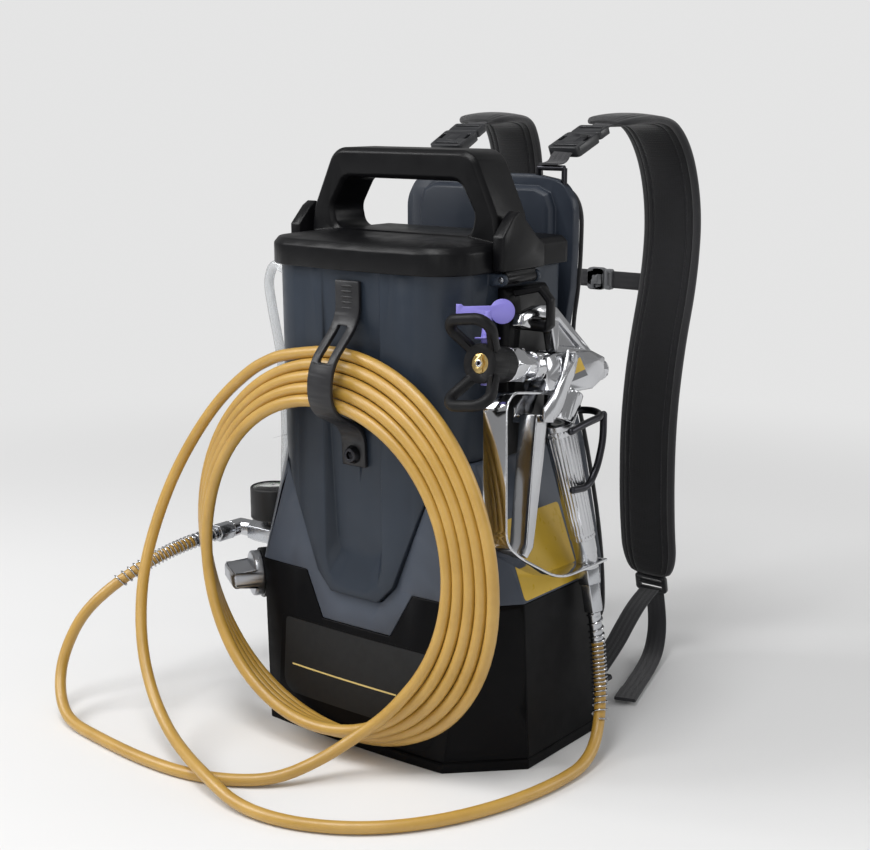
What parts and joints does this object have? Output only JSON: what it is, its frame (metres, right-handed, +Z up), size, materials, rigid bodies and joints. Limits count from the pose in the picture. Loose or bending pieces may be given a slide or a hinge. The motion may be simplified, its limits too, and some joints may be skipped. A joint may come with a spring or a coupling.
{
  "type": "airless paint sprayer",
  "caption": "Cordless airless paint sprayer worn on the back: tank housing with pump, coiled hose, spray gun and harness.",
  "frame": {"origin": "centre of the lower housing's flat underside", "axes": "+Z up, +Y towards the wearer's back, +X the side that the spray gun hangs on"},
  "size_m": [0.5485, 0.6387, 0.6373],
  "materials": {
    "housing_black": "fine moulded grain, satin",
    "shell_blue_grey": "satin moulded",
    "flare_grey": "satin moulded",
    "lid_black": "satin moulded",
    "trim_black": "fine moulded grain",
    "seal_rubber": "matt",
    "strap_rubber": "matt",
    "pad_fabric": "knitted mesh",
    "webbing": "woven",
    "buckle_plastic": "moulded",
    "zinc_steel": "plated",
    "black_steel": "satin",
    "chrome": "polished",
    "polished_aluminium": "polished cast",
    "satin_aluminium": "satin",
    "brass": "satin",
    "hose_amber": "smooth",
    "clear_tube": "clear",
    "tip_purple": "moulded",
    "dial_white": "printed",
    "signal_red": "moulded",
    "tank_white": "moulded",
    "board_green": "laminate",
    "gear_steel": "oiled"
  },
  "bodies": {
    "housing": {"lower_housing": "housing_black", "flare_housing": "flare_grey", "upper_shell": "shell_blue_grey", "latch_pins": "zinc_steel", "back_plate": "shell_blue_grey", "back_pad": "pad_fabric", "gun_rail": "trim_black", "gun_holder": "black_steel", "hose_strap": "strap_rubber", "strap_screw": "black_steel", "left_shoulder_pad": "pad_fabric", "right_shoulder_pad": "pad_fabric", "harness_webbing": "webbing", "shoulder_buckles": "buckle_plastic", "ladder_locks": "buckle_plastic", "sternum_buckle": "buckle_plastic", "webbing_anchors": "black_steel", "outlet_union": "zinc_steel", "outlet_elbow": "satin_aluminium", "gauge_case": "trim_black", "gauge_dial": "dial_white", "knob_collar": "trim_black", "return_tube": "clear_tube", "hose_lead": "hose_amber", "hose_coil": "hose_amber", "hose_tail": "hose_amber", "hose_end_nuts": "zinc_steel", "hose_springs": "zinc_steel", "gun_body": "polished_aluminium", "gun_rear_cap": "chrome", "tip_nut": "chrome", "trigger_pin": "zinc_steel", "gun_handle": "chrome", "gun_filter": "dial_white", "trigger_guard": "chrome", "paint_tank": "tank_white", "tank_strainer": "dial_white", "pump_block": "satin_aluminium", "inlet_valve": "zinc_steel", "motor": "black_steel", "control_board": "board_green"},
    "lid": {"lid": "lid_black", "lid_seal": "seal_rubber"},
    "left_latch": {"left_latch": "lid_black"},
    "right_latch": {"right_latch": "lid_black"},
    "gauge_needle": {"gauge_needle": "signal_red"},
    "pressure_knob": {"pressure_knob": "satin_aluminium"},
    "tip_guard": {"tip_guard": "trim_black", "tip_seat": "brass"},
    "spray_tip": {"spray_tip": "tip_purple"},
    "gun_trigger": {"gun_trigger": "polished_aluminium"},
    "trigger_lock": {"trigger_lock": "trim_black"},
    "gun_needle": {"gun_needle": "chrome"},
    "gun_swivel": {"gun_swivel": "zinc_steel"},
    "crank_gear": {"crank_gear": "gear_steel"},
    "motor_pinion": {"motor_pinion": "gear_steel"},
    "pump_piston": {"pump_piston": "chrome"},
    "battery_pack": {"battery_pack": "trim_black"},
    "battery_button": {"battery_button": "signal_red"},
    "power_switch": {"power_switch": "signal_red"}
  },
  "joints": [
    {"name": "lid_lift", "type": "slide", "parent": "housing", "child": "lid", "axis": [0, 0, 1], "range_m": [0, 0.15]},
    {"name": "right_latch_swing", "type": "hinge", "parent": "housing", "child": "right_latch", "pos_m": [0.1315, 0, 0.481], "axis": [0, 1, 0], "range_deg": [0, 70]},
    {"name": "left_latch_swing", "type": "hinge", "parent": "housing", "child": "left_latch", "pos_m": [-0.1315, 0, 0.481], "axis": [0, -1, 0], "range_deg": [0, 70]},
    {"name": "gauge_needle_turn", "type": "hinge", "parent": "housing", "child": "gauge_needle", "pos_m": [-0.194, -0.01, 0.221], "axis": [0, 0, -1], "range_deg": [0, 270], "stiffness_Nm_per_rad": 0.0001},
    {"name": "pressure_knob_turn", "type": "hinge", "parent": "housing", "child": "pressure_knob", "pos_m": [-0.147, -0.06, 0.147], "axis": [-0.5446, -0.8387, 0], "range_deg": [0, 270]},
    {"name": "tip_guard_turn", "type": "hinge", "parent": "housing", "child": "tip_guard", "pos_m": [0.15598, -0.08418, 0.41127], "axis": [0.0201, 0.9863, -0.1638], "range_deg": [0, 90]},
    {"name": "spray_tip_flip", "type": "hinge", "parent": "tip_guard", "child": "spray_tip", "pos_m": [0.15598, -0.08418, 0.41127], "axis": [-0.1202, 0.165, 0.9789], "range_deg": [0, 180]},
    {"name": "trigger_pull", "type": "hinge", "parent": "housing", "child": "gun_trigger", "pos_m": [0.15719, 0.02975, 0.4014], "axis": [0.9925, 0, 0.1219], "range_deg": [0, 12], "stiffness_Nm_per_rad": 1.2, "springref_deg": -8.59},
    {"name": "trigger_lock_turn", "type": "hinge", "parent": "housing", "child": "trigger_lock", "pos_m": [0.14559, 0.05159, 0.3728], "axis": [0.9925, 0, 0.1219], "range_deg": [0, 90]},
    {"name": "gun_needle_slide", "type": "slide", "parent": "housing", "child": "gun_needle", "axis": [0.0201, 0.9863, -0.1638], "range_m": [0, 0.003]},
    {"name": "gun_swivel_turn", "type": "hinge", "parent": "housing", "child": "gun_swivel", "pos_m": [0.18342, 0.05303, 0.18778], "axis": [0.1214, 0.0862, -0.9889], "continuous": true},
    {"name": "crank_turn", "type": "hinge", "parent": "housing", "child": "crank_gear", "pos_m": [0.024, 0.00805, 0.08107], "axis": [1, 0, 0], "continuous": true},
    {"name": "pinion_turn", "type": "hinge", "parent": "housing", "child": "motor_pinion", "pos_m": [0.024, 0.034, 0.044], "axis": [1, 0, 0], "continuous": true},
    {"name": "piston_stroke", "type": "slide", "parent": "housing", "child": "pump_piston", "axis": [0, 0, 1], "range_m": [-0.008, 0.008]},
    {"name": "battery_slide", "type": "slide", "parent": "housing", "child": "battery_pack", "axis": [-1, 0, 0], "range_m": [0, 0.09]},
    {"name": "battery_button_press", "type": "slide", "parent": "battery_pack", "child": "battery_button", "axis": [1, 0, 0], "range_m": [0, 0.003], "stiffness_N_per_m": 300, "springref_m": -0.002},
    {"name": "power_switch_rock", "type": "hinge", "parent": "housing", "child": "power_switch", "pos_m": [-0.1715, 0.062, 0.122], "axis": [0, 0, 1], "range_deg": [-8, 8]}
  ],
  "couplings": [
    {"joint": "gun_needle_slide", "follows": "trigger_pull", "m_per_rad": 0.01431},
    {"joint": "pinion_turn", "follows": "crank_turn", "ratio": -4}
  ]
}
